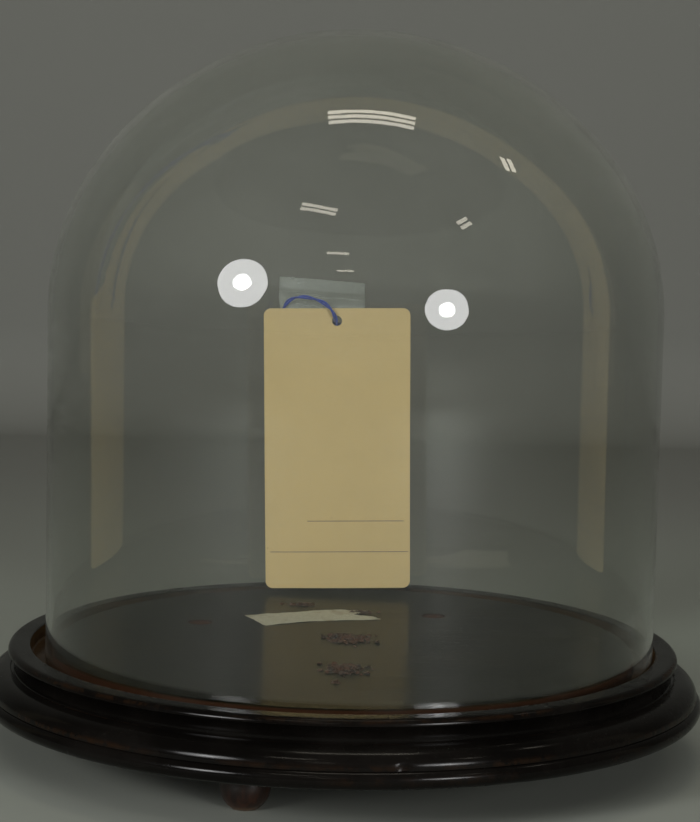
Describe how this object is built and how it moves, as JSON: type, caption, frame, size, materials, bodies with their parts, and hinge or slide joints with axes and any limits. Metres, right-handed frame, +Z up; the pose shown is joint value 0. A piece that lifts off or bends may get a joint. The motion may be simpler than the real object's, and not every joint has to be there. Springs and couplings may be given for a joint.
{
  "type": "bell jar dome",
  "caption": "Blown glass bell with a rounded crown, standing in the groove of a turned ebonised wooden base on bun feet, with a blank card tag hung inside.",
  "frame": {"origin": "on the axis of the base, at the level of the soles of the bun feet", "axes": "+Z up along the axis of the base; -Y towards the front, the side the tag faces; +X to the right seen from the front"},
  "size_m": [0.3545, 0.3546, 0.3534],
  "materials": {
    "ebonised_wood": "ebonised, French polished, worn",
    "stage_paint": "dark stained and waxed, semi-gloss",
    "foot_wood": "red-brown stained, worn polish",
    "screw_steel": "dull steel",
    "dome_glass": "clear blown glass, slightly green",
    "clear_tape": "clear adhesive tape",
    "tag_card": "manila card, matte",
    "string_cotton": "blue cotton string"
  },
  "bodies": {
    "base": {"base_board": "ebonised_wood", "rim_moulding": "ebonised_wood", "stage_board": "stage_paint", "bun_foot_1": "foot_wood", "bun_foot_2": "foot_wood", "bun_foot_3": "foot_wood", "rim_screws": "screw_steel", "stage_screws": "screw_steel"},
    "dome": {"glass_dome": "dome_glass", "tape_leaf": "clear_tape"},
    "tag": {"hang_tag": "tag_card", "tape_tab": "clear_tape", "tag_string": "string_cotton", "string_stop_knot": "string_cotton", "string_end_knot": "string_cotton"}
  },
  "joints": [
    {"name": "dome_lift", "type": "slide", "parent": "base", "child": "dome", "axis": [0, 0, 1], "range_m": [0, 0.32]},
    {"name": "tag_swing", "type": "hinge", "parent": "dome", "child": "tag", "pos_m": [-0.007, 0.1265, 0.2084], "axis": [-1, 0, 0], "range_deg": [-3, 35]}
  ]
}
